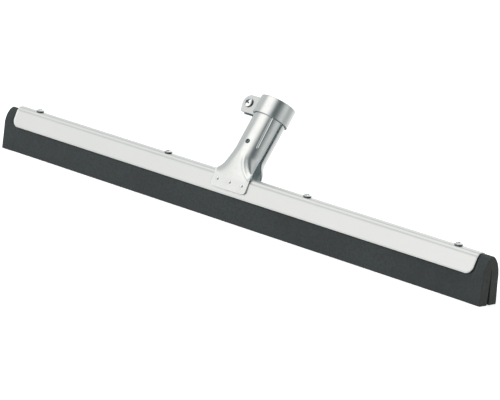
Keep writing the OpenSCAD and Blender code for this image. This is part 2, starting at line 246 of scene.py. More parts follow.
def smooth(value, low, high):
    """Rises from 0 at low to 1 at high, with level ends."""
    share = np.clip((value - low) / (high - low), 0, 1)
    return share * share * (3 - 2 * share)


def falling(value, low, high):
    """Falls from 1 at low to 0 at high, with level ends."""
    return smooth(-value, -high, -low)


def between(value, start, full, fading, end):
    """Rises from 0 at start to 1 at full, and falls from 1 at fading to 0 at end."""
    return smooth(value, start, full) * falling(value, fading, end)


def spread(places, counts):
    """Values from the first place to the last, with this count evenly on each stretch."""
    parts = [np.linspace(a, b, count) for a, b, count in zip(places, places[1:], counts)]
    return np.concatenate([parts[0]] + [part[1:] for part in parts[1:]])


def point_array(x, y, z):
    """Points from three arrays of coordinates."""
    return np.stack(np.broadcast_arrays(x, y, z), axis=-1).astype(float)


def on_stem(beside, behind, along):
    """A point at these distances beside, behind and along the socket's axis."""
    beside, behind, along = (np.asarray(v, float)[..., None] for v in (beside, behind, along))
    across = np.array([1.0, 0.0, 0.0])
    return STEM_FOOT + beside * across + behind * STEM_BACK + along * STEM_UP


def strips(first, second, count):
    """Rows of points from one line to another."""
    share = np.linspace(0, 1, count)[:, None, None]
    return first * (1 - share) + second * share


def heading(angle):
    """The direction at an angle in a plane."""
    return np.stack([np.cos(angle), np.sin(angle)], axis=-1)


def rounded_path(corners, radii, spacing):
    """A line through the corners in which each inner corner is an arc that touches both sides.

    The arc's centre lies on the corner's bisector at radius / sin(half the corner's angle).
    """
    corners = [np.array(c, float) for c in corners]
    pieces = [corners[0][None]]
    for before, corner, after, radius in zip(corners, corners[1:], corners[2:], radii):
        a, b = unit(before - corner), unit(after - corner)
        half = np.arccos(np.clip(a @ b, -1, 1)) / 2
        centre = corner + unit(a + b) * radius / np.sin(half)
        start = corner + a * radius / np.tan(half) - centre
        sweep = np.pi - 2 * half
        turn = np.sign(a[1] * b[0] - a[0] * b[1])
        angle = np.arctan2(start[1], start[0]) + turn * sweep * np.linspace(
            0, 1, max(3, int(radius * sweep / spacing) + 2))
        pieces.append(centre + radius * heading(angle))
    pieces.append(corners[-1][None])
    return np.concatenate(pieces)


def lengths_along(path):
    """Distance along a line at each of its points."""
    return np.concatenate([[0], np.cumsum(np.linalg.norm(np.diff(path, axis=0), axis=1))])


def left_of(path):
    """Directions square to a plane line at its points, on its left side."""
    ahead = unit(np.gradient(path, axis=0))
    return np.stack([-ahead[:, 1], ahead[:, 0]], axis=-1)


def border(grid, inset=0):
    """The points round a grid's four sides, first one repeated; inset takes their neighbours."""
    rows, cols = (np.clip(np.arange(n), inset, n - 1 - inset) for n in grid.shape[:2])
    grid = grid[rows][:, cols]
    return np.concatenate([grid[0, :-1], grid[:-1, -1], grid[-1, :0:-1], grid[:0:-1, 0],
                           grid[:1, 0]])


def rim(outer_line, inner_line, outwards, bulge, steps=6):
    """A sheared edge from one face's border to the other's.

    Its section is a flattened half ellipse: cosine and sine to the power of RIM_POWER, the first
    across the sheet's thickness, the second outwards by bulge.
    """
    middle, half = (outer_line + inner_line) / 2, (outer_line - inner_line) / 2
    angle = np.linspace(0, np.pi, steps + 1)[:, None, None]
    across = np.sign(np.cos(angle)) * np.abs(np.cos(angle)) ** RIM_POWER
    return middle + half * across + outwards * bulge * np.sin(angle) ** RIM_POWER


def sheet_grids(outer, inner, kept=None):
    """The two faces of a piece of sheet metal and the rounded cut edge round them."""
    outer_line, inner_line = border(outer), border(inner)
    outwards = outer_line - border(outer, 1) + inner_line - border(inner, 1)
    across = unit(outer_line - inner_line)
    outwards = unit(outwards - np.sum(outwards * across, axis=-1, keepdims=True) * across)
    edge = rim(outer_line, inner_line, outwards, EDGE)
    return [(outer, kept), (inner, kept, INSIDE), (edge, None, CUT_AND_SHADE)]


def grid_cells(rows, cols, start=0):
    """The numbers of the points at the four corners of each cell of a grid."""
    index = start + np.arange(rows * cols).reshape(rows, cols)
    return np.stack([index[:-1, :-1], index[:-1, 1:], index[1:, 1:], index[1:, :-1]], -1)


def new_object(name, data):
    """An object of the scene that holds this data."""
    piece = bpy.data.objects.new(name, data)
    bpy.context.scene.collection.objects.link(piece)
    return piece


def make_piece(name, grids, finishes, body, nodes, sharp=38):
    """One mesh from grids of points: cells become faces, points that coincide are joined.

    A grid comes with a mask of the cells that are kept, or None, and the number of its finish.
    A number that the piece has no finish for, or none, stands for the first.
    """
    points, cells, numbers, start = [], [], [], 0
    for grid, kept, *number in grids:
        quads = grid_cells(*grid.shape[:2], start)
        cells.append(quads.reshape(-1, 4) if kept is None else quads[kept])
        numbers.append(np.full(len(cells[-1]), number[0] if number else 0))
        points.append(grid.reshape(-1, 3))
        start += len(points[-1])
    used, faces = np.unique(np.concatenate(cells), return_inverse=True)
    mesh = bpy.data.meshes.new(name)
    mesh.from_pydata((np.concatenate(points)[used] * MM).tolist(), [],
                     faces.reshape(-1, 4).tolist())
    for finish in finishes:
        mesh.materials.append(finish)
    numbers = np.concatenate(numbers)
    numbers[numbers >= len(finishes)] = 0
    mesh.polygons.foreach_set("material_index", numbers)
    work = bmesh.new()
    work.from_mesh(mesh)
    bmesh.ops.remove_doubles(work, verts=work.verts, dist=2e-6)
    bmesh.ops.recalc_face_normals(work, faces=work.faces)
    work.to_mesh(mesh)
    work.free()
    mesh.polygons.foreach_set("use_smooth", np.ones(len(mesh.polygons), bool))
    mesh.set_sharp_from_angle(angle=np.radians(sharp))
    piece = new_object(name, mesh)
    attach(piece, body)
    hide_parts(*nodes)


# Finishes


def set_inputs(node, values):
    """Sets a node's inputs, by their names, to plain values."""
    for name, value in values.items():
        node.inputs[name].default_value = value


class Finish:
    """A Principled material whose patterns read Object coordinates, in metres."""

    def __init__(self, name, color, metallic, roughness):
        self.material = bpy.data.materials.new(name)
        self.material.use_nodes = True
        self.nodes = self.material.node_tree.nodes
        self.links = self.material.node_tree.links
        self.shader = self.nodes["Principled BSDF"]
        set_inputs(self.shader, {"Base Color": (*color, 1), "Metallic": metallic,
                                 "Roughness": roughness})
        self.place = self.nodes.new("ShaderNodeTexCoord").outputs["Object"]
        self.bumped = None

    def noise(self, size, detail=3, stretch=(1, 1, 1), shift=0.0):
        """Cloudy pattern whose lumps measure about size in millimetres, longer where stretched."""
        mapping = self.nodes.new("ShaderNodeMapping")
        set_inputs(mapping, {"Location": (shift, 2 * shift, 3 * shift),
                             "Scale": [1 / s for s in stretch]})
        self.links.new(self.place, mapping.inputs["Vector"])
        noise = self.nodes.new("ShaderNodeTexNoise")
        set_inputs(noise, {"Scale": 1 / (size * MM), "Detail": detail})
        self.links.new(mapping.outputs["Vector"], noise.inputs["Vector"])
        return noise.outputs["Fac"]

    def cells(self, size):
        """Pores about size in millimetres apart: the distance to the nearest one."""
        pores = self.nodes.new("ShaderNodeTexVoronoi")
        pores.inputs["Scale"].default_value = 1 / (size * MM)
        self.links.new(self.place, pores.inputs["Vector"])
        return pores.outputs["Distance"]

    def span(self, value, low, high, to_low, to_high):
        """Maps a pattern's values from low to high onto another range, and holds the ends."""
        node = self.nodes.new("ShaderNodeMapRange")
        set_inputs(node, {"From Min": low, "From Max": high, "To Min": to_low,
                          "To Max": to_high})
        self.links.new(value, node.inputs["Value"])
        return node.outputs["Result"]

    def blend(self, share, first, second):
        """Mixes two colours, each a plain one or a pattern's output."""
        node = self.nodes.new("ShaderNodeMix")
        node.data_type = "RGBA"
        self.links.new(share, node.inputs["Factor"])
        for socket, color in (("A", first), ("B", second)):
            target = [i for i in node.inputs if i.name == socket and i.type == "RGBA"][0]
            if isinstance(color, tuple):
                target.default_value = (*color, 1)
            else:
                self.links.new(color, target)
        return [o for o in node.outputs if o.type == "RGBA"][0]

    def sum(self, first, second):
        """Adds two patterns."""
        node = self.nodes.new("ShaderNodeMath")
        self.links.new(first, node.inputs[0])
        self.links.new(second, node.inputs[1])
        return node.outputs[0]

    def feed(self, socket, value):
        """Lets a pattern set one of the shader's inputs."""
        self.links.new(value, self.shader.inputs[socket])

    def tones(self, tone, *layers):
        """The colour: a tone and those laid over it, each where its pattern's span says."""
        for pattern, span, layer in layers:
            tone = self.blend(self.span(pattern, *span), tone, layer)
        self.feed("Base Color", tone)

    def relief(self, height, depth):
        """Adds a relief this many millimetres deep to the surface's shading."""
        node = self.nodes.new("ShaderNodeBump")
        node.inputs["Distance"].default_value = depth * MM
        self.links.new(height, node.inputs["Height"])
        if self.bumped is not None:
            self.links.new(self.bumped, node.inputs["Normal"])
        self.bumped = node.outputs["Normal"]
        self.feed("Normal", self.bumped)

    def mottled(self, pattern, tones, tone_span, rough_span, roughs, depth, relief=None):
        """The material, once a pattern leads its colour, its roughness and its relief, which may
        have a pattern of its own."""
        self.tones(tones[0], (pattern, (*tone_span, 0, 1), tones[1]))
        self.feed("Roughness", self.span(pattern, *rough_span, *roughs))
        self.relief(relief or pattern, depth)
        return self.material


def shaded(tone, share):
    """A tone brought down to a share of itself."""
    return tuple(share * c for c in tone)


def rail_finish():
    """Pale satin sheet with a faint rolling grain along the rail and soft clouds in its gloss."""
    look = Finish("pale_satin_sheet", (0.78, 0.782, 0.776), 1.0, 0.42)
    grain = look.noise(0.5, 4, stretch=(60, 1, 1))
    clouds = look.noise(45, 3, shift=0.3)
    specks = look.noise(0.9, 2, shift=0.7)
    look.tones((0.77, 0.772, 0.766), (clouds, (0.3, 0.7, 0, 1), (0.8, 0.8, 0.79)),
               (specks, (0.62, 0.8, 0, 0.25), (0.71, 0.715, 0.71)))
    look.feed("Roughness", look.sum(look.span(grain, 0.3, 0.7, 0.36, 0.42),
                                    look.span(clouds, 0.3, 0.7, 0, 0.05)))
    look.relief(grain, 0.012)
    look.relief(specks, 0.01)
    return look.material


def zinc_finish(name, rough):
    """Zinc-plated pressed sheet: soft gloss, a mottled bloom and fine drawing marks."""
    tone = (0.78, 0.787, 0.778)
    look = Finish(name, tone, 1.0, rough)
    bloom = look.noise(7, 4, shift=0.1)
    fine = look.noise(0.7, 3, shift=0.5)
    marks = look.noise(0.35, 2, stretch=(1, 8, 8), shift=0.9)
    look.tones(tone, (bloom, (0.35, 0.7, 0, 1), shaded(tone, 0.965)))
    look.feed("Roughness", look.sum(look.span(bloom, 0.3, 0.7, rough - 0.03, rough + 0.05),
                                    look.span(fine, 0.3, 0.7, 0, 0.04)))
    look.relief(bloom, 0.012)
    look.relief(marks, 0.003)
    return look.material


def inside_finish(name, tone):
    """The sheet's inner face: the same plating left dull, in the tone given, with darker blotches from pressing.
    The ring's dark tone is painted shade, which darkens its rear ear.
    """
    look = Finish(name, tone, 0.1, 0.45)
    return look.mottled(look.noise(5, 4, shift=0.4), (tone, shaded(tone, 0.8)), (0.35, 0.7),
                        (0.3, 0.7), (0.4, 0.52), 0.01, look.noise(0.8, 3, shift=0.2))


def cut_edge_and_shade_finish():
    """Bare cut edge of the sheet: dull, dark steel with fine shear marks across it. Its dark tone is partly the
    raw steel and partly painted shade, for the shadow lines under the ring's edge and beside the flanges.
    """
    look = Finish("cut_steel_edge_and_shade", (0.2, 0.21, 0.215), 1.0, 0.5)
    return look.mottled(look.noise(0.4, 3), ((0.5, 0.54, 0.55), (0.3, 0.33, 0.34)), (0.35, 0.7),
                        (0.3, 0.7), (0.42, 0.6), 0.03)


def screw_finish():
    """Bright plated steel, a little duller in small spots."""
    look = Finish("bright_plated_steel", (0.86, 0.87, 0.88), 1.0, 0.14)
    return look.mottled(look.noise(1.2, 3), ((0.88, 0.89, 0.9), (0.78, 0.79, 0.8)), (0.4, 0.75),
                        (0.35, 0.7), (0.1, 0.2), 0.01)


def dark_finish(name, tone):
    """The welds' heat-marked spots, and the screws' rims and recesses, whose dark tone is painted shade: dark,
    with small dull marks.
    """
    look = Finish(name, tone, 1.0, 0.35)
    return look.mottled(look.noise(0.6, 3, shift=0.3), (tone, shaded(tone, 0.55)), (0.35, 0.7),
                        (0.35, 0.7), (0.3, 0.45), 0.01)


def bar_finish():
    """Plain galvanised bar with a coarse spangle."""
    look = Finish("galvanised_bar", (0.62, 0.64, 0.64), 1.0, 0.4)
    return look.mottled(look.cells(4), ((0.66, 0.68, 0.68), (0.5, 0.52, 0.53)), (0.1, 0.8),
                        (0.1, 0.8), (0.34, 0.5), 0.02, look.noise(0.8, 3))


def cut_rubber_finish():
    """Cut face of the cellular rubber: open pores, darkened as painted shade in their hollows, in an olive grey
    ground.
    """
    look = Finish("cut_cellular_rubber", (0.06, 0.06, 0.05), 0.0, 0.8)
    cloud = look.noise(4, 4, shift=0.15)
    pores = look.cells(0.9)
    # The pores' last layer darkens their hollows: painted shade
    look.tones((0.03, 0.034, 0.031), (cloud, (0.35, 0.7, 0, 1), (0.046, 0.049, 0.043)),
               (pores, (0.0, 0.3, 0.7, 0), (0.01, 0.011, 0.01)))
    look.feed("Roughness", look.span(cloud, 0.3, 0.7, 0.75, 0.88))
    look.relief(pores, 0.15)
    return look.material


def rubber_finish():
    """Matte cellular rubber: cloudy bloom at three scales, fine pores darkened as painted shade in their hollows,
    and a slight grain.
    """
    look = Finish("cellular_rubber", (0.05, 0.06, 0.063), 0.0, 0.72)
    wide = look.noise(60, 3, stretch=(2, 1, 1), shift=0.2)
    cloud = look.noise(9, 4, shift=0.6)
    mottle = look.noise(1.6, 3, shift=0.8)
    pores = look.cells(0.8)
    # The pores' last layer darkens their hollows: painted shade
    look.tones((0.0215, 0.0265, 0.0265), (wide, (0.35, 0.65, 0, 1), (0.0355, 0.0435, 0.0475)),
               (cloud, (0.35, 0.7, 0, 0.65), (0.044, 0.052, 0.054)),
               (mottle, (0.42, 0.72, 0, 0.65), (0.018, 0.022, 0.023)),
               (pores, (0.0, 0.28, 0.45, 0), (0.012, 0.015, 0.0155)))
    look.feed("Roughness", look.span(cloud, 0.3, 0.7, 0.66, 0.8))
    look.relief(mottle, 0.12)
    look.relief(pores, 0.1)
    set_inputs(look.shader, {"Specular IOR Level": 0.35, "Sheen Weight": 0.08})
    return look.material


# Rail


def mirrored(half):
    """A grid and its mirror image to the front, joined at its first column."""
    return np.concatenate([(half * [1, -1, 1])[:, :0:-1], half], axis=1)


def rail_distance_to_edge(x, run, run_end):
    """Distance to the rounded outline of the rail's side, laid flat: x along, run down its face."""
    over_x = np.abs(x) - (RAIL_HALF_L - RAIL_CORNER_R)
    over_run = run - (run_end - RAIL_CORNER_R)
    outside = np.hypot(np.maximum(over_x, 0), np.maximum(over_run, 0))
    return RAIL_CORNER_R - outside - np.minimum(np.maximum(over_x, over_run), 0)


def rail():
    """The rail: one side's section from the crown to the foot, mirrored and carried along X.

    Near the ends the foot rises along the corner's arc, and the face between the shoulder and
    the foot is drawn together by the same share. The outline stands out in a narrow lip.
    """
    half_l = RAIL_HALF_L - EDGE
    corners = [[beside, RAIL_TOP - below] for beside, below in CROWN_CORNERS]
    side = rounded_path(corners + [[FLARE_HALF - RAIL_LIP, RAIL_FOOT]], CROWN_BENDS, 0.15)
    run = lengths_along(side)
    normals = unit(np.abs(left_of(side)))
    held = run[np.argmin(np.abs(side[:, 1] - (SHOULDER_Z - DRAWN_BELOW)))]
    # Rows stand close together in the last 1.5 mm, and columns in the 9 mm at each end
    rows = spread([0, held, run[-1] - 1.5, run[-1]], [42, 34, 14])
    from_end = spread([0, 9, RAIL_HALF_L], [50, 40]) * half_l / RAIL_HALF_L
    x = np.unique(np.round(np.concatenate([from_end - half_l, half_l - from_end]), 6))
    bite = np.clip(RAIL_CORNER_R - (RAIL_HALF_L - np.abs(x)), 0, RAIL_CORNER_R)
    lift = RAIL_CORNER_R - np.sqrt(RAIL_CORNER_R ** 2 - bite ** 2)
    run_end = run[-1] - (lift + EDGE) * np.hypot(1, FLARE_TAN)
    share = np.clip((rows - held) / (run[-1] - held), 0, 1)
    place = np.minimum(rows, held) + share * (run_end[:, None] - held)
    y, z, out_y, out_z = (np.interp(place, run, values) for values in [*side.T, *normals.T])
    away = rail_distance_to_edge(x[:, None], place, run[-1])
    # The crown, the first few millimetres of the way down, has no lip
    lip = RAIL_LIP * smooth(place, 2.0, 6.0)
    lip = lip * np.exp(-(np.maximum(away - EDGE, 0) / RAIL_LIP_WIDTH) ** 2)
    faces = []
    for offset in (lip, lip - RAIL_WALL):
        faces.append(mirrored(point_array(x[:, None], y + offset * out_y, z + offset * out_z)))
    return sheet_grids(*faces)


# Rubber


def rubber():
    """The folded rubber: its outer outline and the slit's outline, carried along X.

    Past the rail it eases into an arch, whose half width at a share k of its height is
    (1 - k^2)^0.6 of the rubber's. Strips between the two outlines close the ends and the feet.
    """
    half_l = RUBBER_HALF_L
    crown = RAIL_TOP - GRIP
    side = rounded_path([[0, crown], [2.6, crown - 0.35], [4.15, SHOULDER_Z - 0.4],
                         [RUBBER_HALF, RAIL_FOOT - 0.9], [RUBBER_HALF, 0]], RUBBER_BENDS, 0.3)
    run = lengths_along(side)
    rows = spread([0, run[-1] - 1.2, run[-1]], [70, 8])
    outline = np.stack([np.interp(rows, run, values) for values in side.T], axis=-1)
    normals = unit(np.abs(left_of(outline)))
    from_end = spread([0, 1.2, 16, half_l], [7, 40, 30])
    x = np.concatenate([from_end - half_l, (half_l - from_end)[::-1][1:]])
    past = np.abs(x)[:, None] - RAIL_HALF_L
    height = outline[None, :, 1]
    # Free ends ease into the arch where the rail doesn't hold them
    free = smooth(past, -0.4, 3.6)
    rise = np.clip((height - ARCH_Z) / (crown - ARCH_Z), 0, 1)
    arch_crown = np.where(x < 0, *ARCH_CROWNS)[:, None]
    arch_z = np.where(rise > 0, ARCH_Z + rise * (arch_crown - ARCH_Z), height)
    arch_y = RUBBER_HALF * (1 - rise ** 2) ** 0.6
    lower = FOOT_SPREAD * smooth(past, -10, 6) * falling(height, 2, 20)
    bite = np.clip(1 - (half_l - np.abs(x)) / END_ROUND_L, 0, 1)
    edge_round = END_ROUND_DEPTH * (1 - np.sqrt(1 - bite ** 2))
    waves = sum(wave * np.sin(x[:, None] / reach + shift) for wave, reach, shift in LIP_WAVES)
    grow = lower - edge_round[:, None] + waves * falling(height, 8, 18)
    y = outline[None, :, 0] * (1 - free) + arch_y * free + grow * normals[None, :, 0]
    z = np.maximum(height * (1 - free) + arch_z * free + grow * normals[None, :, 1], 0)
    outer = mirrored(point_array(x[:, None], y, z))
    # The slit's two walls, from the front foot up to its closed top and down to the rear foot
    wall = np.linspace(-1, 1, outer.shape[1])
    slit_z = SLIT_Z * (1 - np.abs(wall))
    foot_half = SLIT_HALF + SLIT_GAPE * smooth(np.abs(x)[:, None], half_l - SLIT_GAPE_L, half_l)
    open_half = foot_half + (SLIT_TOP_HALF - foot_half) * (slit_z / SLIT_Z) ** 0.8
    slit = point_array(x[:, None], np.sign(wall) * open_half, slit_z)
    grids = [(outer, None), (slit, None)]
    # Feet: strips from the outer edge to the slit, dished
    across = np.linspace(0, 1, 12)[:, None]
    for column, dish in zip((0, -1), FOOT_DISHES):
        foot = strips(outer[:, column], slit[:, column], len(across))
        foot[..., 2] += dish * np.sin(np.pi * across) ** 0.8
        grids.append((foot, None, CUT_AND_SHADE))
    # Ends: strips between the two outlines
    across = np.linspace(0, 1, 22)[:, None]
    edge = np.minimum(across, 1 - across)
    for row, way in ((0, -1), (-1, 1)):
        cap = strips(outer[row], slit[row], len(across))
        y, z = cap[..., 1], cap[..., 2]
        crease_y = CREASE_Y + (z - CREASE_Z) * CREASE_SLANT
        crease = CREASE_DEPTH * np.exp(-((y - crease_y) / CREASE_HALF) ** 2)
        crease = crease * smooth(z, 24, 30) * smooth(edge, 0, 0.15)
        seam = END_SEAM_DEPTH * np.exp(-((across - END_SEAM_AT) / END_SEAM_HALF) ** 2)
        seam = seam * falling(z, 20, 26) * smooth(edge, 0, 0.2)
        cap[..., 0] -= way * (crease + seam)
        grids.append((cap, None, CUT_AND_SHADE))
    return grids


# Socket


def bezier(points, t):
    """The Bezier curve's point at t, by mixing neighbouring control points until one is left."""
    points = [np.asarray(p, float) for p in points]
    while len(points) > 1:
        points = [(1 - t) * p + t * q for p, q in zip(points, points[1:])]
    return points[0]


def on_flange(side, beside, height):
    """A point on a flange's outer face, at a height above the floor."""
    outside = CROWN_HALF + (SHOULDER_Z - height) * FLARE_TAN + NECK_WALL / FLARE_COS
    return np.array([beside, side * outside, height])


def neck_line(side, start, flange_x, drop, bends, shoulder, t):
    """A line down a neck: 0 at the tube, 1 where it lands on the rail and 2 at the foot."""
    land = on_flange(side, flange_x, RAIL_TOP - drop)
    foot = on_flange(side, flange_x, FLANGE_FOOT + EDGE)
    face_up = np.array([0, -side * FLARE_SIN, FLARE_COS])
    control = [start, start - bends[0] * STEM_UP]
    if shoulder is not None:
        control.append(on_stem(*shoulder))
    control += [land + bends[1] * face_up, land]
    t = t[..., None]
    return bezier(control, np.clip(t, 0, 1)) + np.clip(t - 1, 0, 1) * (foot - land)


def groove_line(s):
    """Angle of a groove's middle line at a place along the axis."""
    return np.interp(s, [GROOVE_S, GROOVE_TOP_S], GROOVE_TURNS[::-1])


def groove_shift(w, s):
    """Turn of the grid's columns on the tube, which makes them run along the grooves."""
    near = between(np.abs(w), *GROOVE_REACH)
    return np.sign(w) * near * (groove_line(s) - GROOVE_TURNS[1])


def groove_depth(turn, s):
    """Depth of the two grooves in the tube: a rounded hollow about each groove's line."""
    beside = TUBE_R * (np.abs(turn) - groove_line(s))
    past_end = s - np.clip(s, GROOVE_S, GROOVE_TOP_S)
    away = np.hypot(beside, past_end) / GROOVE_HALF
    return GROOVE_DEPTH * np.clip(1 - away ** 2, 0, 1) ** 1.5


def weld_depth(x, z):
    """Sink of the three spot welds in a flange, with a faint raised ring round each."""
    beside = x - WELD_PITCH * np.clip(np.round(x / WELD_PITCH), -1, 1)
    away = np.hypot(beside, (z - WELD_Z) / FLARE_COS) / WELD_R
    raised = WELD_RING_H * np.exp(-((away - WELD_RING_AT) / WELD_RING_HALF) ** 2)
    return WELD_DEPTH * np.exp(-away ** 4) - raised


def roll_height(w, t):
    """Height of the front neck's rolled ridge: a rounded ridge along the crest's line."""
    crest = ROLL_START + ROLL_SPREAD * t ** 2
    return ROLL_H * between(t, *ROLL_FADE) * np.exp(-((w - crest) / ROLL_HALF) ** 2)


def socket_face(half, w, t):
    """Outer face of a socket half: w from -1 to 1 round it; t from -1 at the mouth to 0 at the
    neck, 1 at the rail and 2 at the flange's foot.

    The tube is a half circle. Down the neck its section is |aside|^n + |rise|^n = 1, between
    the middle line and the edge line: n is 2 at the tube and on the flange and more between.
    Its side walls lean in by a share of the width, most at lean_t.
    """
    side, neck_s = half["side"], half["neck_s"]
    turn = HALF_TURN * w
    s = neck_s - np.minimum(t, 0) * (MOUTH_S - EDGE - neck_s)
    tube_turn = turn + (groove_shift(w, s) if side < 0 else 0)
    radius = TUBE_R - (groove_depth(tube_turn, s) if side < 0 else 0)
    tube = on_stem(radius * np.sin(tube_turn), side * radius * np.cos(tube_turn), s)
    middle = neck_line(side, on_stem(0, side * TUBE_R, neck_s), 0, half["mid_drop"],
                       half["mid_bends"], None, t)
    edge = neck_line(side, on_stem(TUBE_R, 0, neck_s), FLANGE_HALF - EDGE, half["edge_drop"],
                     half["edge_bends"], half["shoulder"], t)
    power = 2 + (np.where(w < 0, *half["power"]) - 2) * between(t, *POWER_FADE)
    lean = np.where(w < 0, *half["lean"]) * between(t, 0, half["lean_t"], half["lean_t"], 1)
    reach = (np.abs(np.sin(turn)) ** power + np.abs(np.cos(turn)) ** power) ** (1 / power)
    aside = np.sin(turn) / reach
    rise = np.cos(turn) / reach
    edge_run = (RAIL_TOP - half["edge_drop"] - FLANGE_FOOT) / FLARE_COS
    bite = np.clip(FLANGE_CORNER_R - (2 - t) * edge_run, 0, FLANGE_CORNER_R)
    corner = FLANGE_CORNER_R - np.sqrt(FLANGE_CORNER_R ** 2 - bite ** 2)
    x = aside + lean * (np.sign(w) * (1 - rise) - aside)
    x = x * edge[..., 0] * (1 - corner / FLANGE_HALF)
    y = edge[..., 1] + (middle[..., 1] - edge[..., 1]) * rise
    z = edge[..., 2] + (middle[..., 2] - edge[..., 2]) * rise
    sink = weld_depth(x, z) * smooth(t, 0.7, 1.0) - (roll_height(w, t) if side < 0 else 0)
    neck = point_array(x, y - side * sink * FLARE_COS, z - sink * FLARE_SIN)
    return np.where((t < 0)[..., None], tube, neck)


def socket_wall(t):
    """Thickness of the sheet: drawn thinner down the neck."""
    return SOCKET_WALL + (NECK_WALL - SOCKET_WALL) * smooth(t, 0.2, 1.0)[..., None]


def inner_face(face, u, v, side):
    """The sheet's inner face: a wall's thickness from its outer one, square to its slopes."""
    slope_u = face(u + STEP, v) - face(u - STEP, v)
    slope_v = face(u, v + STEP) - face(u, v - STEP)
    return face(u, v) - socket_wall(v) * side * unit(np.cross(slope_u, slope_v))


def fixing_hole(face, u, v, hole_u, hole_v, side):
    """The round hole in a face: a mask that leaves out the cells round it, and rings of points
    from that opening's border to the hole's circle, on both faces and through the wall."""
    reach = FIX_HOLE_R + 1.0
    at_u, at_v = np.array(hole_u), np.array(hole_v)
    scale_u = np.linalg.norm(face(at_u + STEP, at_v) - face(at_u - STEP, at_v)) / (2 * STEP)
    scale_v = np.linalg.norm(face(at_u, at_v + STEP) - face(at_u, at_v - STEP)) / (2 * STEP)
    in_u = np.flatnonzero(np.abs(u - hole_u) * scale_u < reach)
    in_v = np.flatnonzero(np.abs(v - hole_v) * scale_v < reach)
    block_u, block_v = u[in_u[0]:in_u[-1] + 1], v[in_v[0]:in_v[-1] + 1]
    kept = np.ones((len(v) - 1, len(u) - 1), bool)
    kept[in_v[0]:in_v[-1], in_u[0]:in_u[-1]] = False
    square = border(np.stack(np.meshgrid(block_u, block_v), axis=-1))
    flat = (square - [hole_u, hole_v]) * [scale_u, scale_v]
    circle = (FIX_HOLE_R + HOLE_ROUND) * heading(np.arctan2(flat[:, 1], flat[:, 0]))
    spot = strips(flat, circle, 7)
    ring_u, ring_v = spot[..., 0] / scale_u + hole_u, spot[..., 1] / scale_v + hole_v
    outer_ring = face(ring_u, ring_v)
    inner_ring = inner_face(face, ring_u, ring_v, side)
    inwards = unit(face(at_u, at_v) - outer_ring[-1])
    through = rim(outer_ring[-1], inner_ring[-1], inwards, HOLE_ROUND, 8)
    return kept, [(outer_ring, None), (inner_ring, None, INSIDE), (through, None, CUT_AND_SHADE)]


def socket_half(half):
    """One pressed half of the socket: its faces and edge, the front half's hole, weld spots."""
    side = half["side"]
    u = np.linspace(-1, 1, 141)
    v = spread([-1, 0, 1, 2], [118, 64, 44])

    def face(w, t):
        return socket_face(half, w, t)

    kept, hole = np.ones((len(v) - 1, len(u) - 1), bool), []
    if side < 0:
        hole_t = -(FIX_HOLE_S - half["neck_s"]) / (MOUTH_S - EDGE - half["neck_s"])
        kept, hole = fixing_hole(face, u, v, FIX_HOLE_TURN / HALF_TURN, hole_t, side)
    grid_u, grid_v = np.meshgrid(u, v)
    outer = face(grid_u, grid_v)
    grids = sheet_grids(outer, inner_face(face, grid_u, grid_v, side), kept) + hole
    sink = weld_depth(outer[:-1, :-1, 0], outer[:-1, :-1, 2])
    spots = (sink > WELD_SPOT_SHARE * WELD_DEPTH) & (v[:-1, None] > 1)
    grids[0] = (outer, kept & ~spots)
    return grids + [(outer, spots, WELD_SPOT)]


# Clamp ring


def ring_line():
    """Middle line of the ring's strip, seen along the socket's axis, as (beside, behind): a
    straight ear, its fillet and half of the ring, mirrored to the front."""
    middle_r = RING_IN + RING_WALL / 2
    ear_y = EAR_GAP / 2 + RING_WALL / 2
    fillet_r = EAR_FILLET_R + RING_WALL / 2
    fillet_y = ear_y + fillet_r
    fillet_x = np.sqrt((middle_r + fillet_r) ** 2 - fillet_y ** 2)
    tip = EAR_X + EAR_ROUND_R - EDGE
    ease = 1 - np.cos(np.linspace(0, np.pi / 2, 46))
    ear_x = -tip + ease * (tip - fillet_x)
    ear = np.stack([ear_x, np.full_like(ear_x, ear_y)], axis=-1)
    touch = np.arctan2(fillet_y, -fillet_x)
    bend = np.linspace(-np.pi / 2, touch - np.pi, 12)[1:]
    fillet = np.array([-fillet_x, fillet_y]) + fillet_r * heading(bend)
    round_part = middle_r * heading(np.linspace(touch, 0, 90)[1:])
    half = np.concatenate([ear, fillet, round_part])
    return np.concatenate([half, (half * [1, -1])[-2::-1]])


def ear_span(x):
    """Lower and upper outline of the ears at distances x beside the axis: a round end about the
    screw, then a slanting edge down to a rounded corner."""
    round_r = EAR_ROUND_R - EDGE
    corner_r = EAR_CORNER_R
    low, high = RING_S + EDGE, RING_TOP_S - EDGE
    crown = np.array([-EAR_X, BOLT_S])
    foot = np.array([-EAR_X - EAR_FOOT_REACH + corner_r, low + corner_r])
    span = foot - crown
    slant = np.arctan2(span[1], span[0]) - np.arccos((round_r - corner_r) / np.hypot(*span))
    upper_touch = crown + round_r * heading(slant)
    lower_touch = foot + corner_r * heading(slant)
    beside = x - crown[0]
    round_half = np.sqrt(np.clip(round_r ** 2 - beside ** 2, 0, None))
    top = np.where(x < crown[0], crown[1] + round_half, high)
    share = (x - upper_touch[0]) / (lower_touch[0] - upper_touch[0])
    line = upper_touch[1] + share * (lower_touch[1] - upper_touch[1])
    corner = foot[1] - np.sqrt(np.clip(corner_r ** 2 - (x - foot[0]) ** 2, 0, None))
    bottom = np.where(x < upper_touch[0], crown[1] - round_half,
                      np.where(x < lower_touch[0], line, np.where(x < foot[0], corner, low)))
    return bottom, np.maximum(top, bottom)


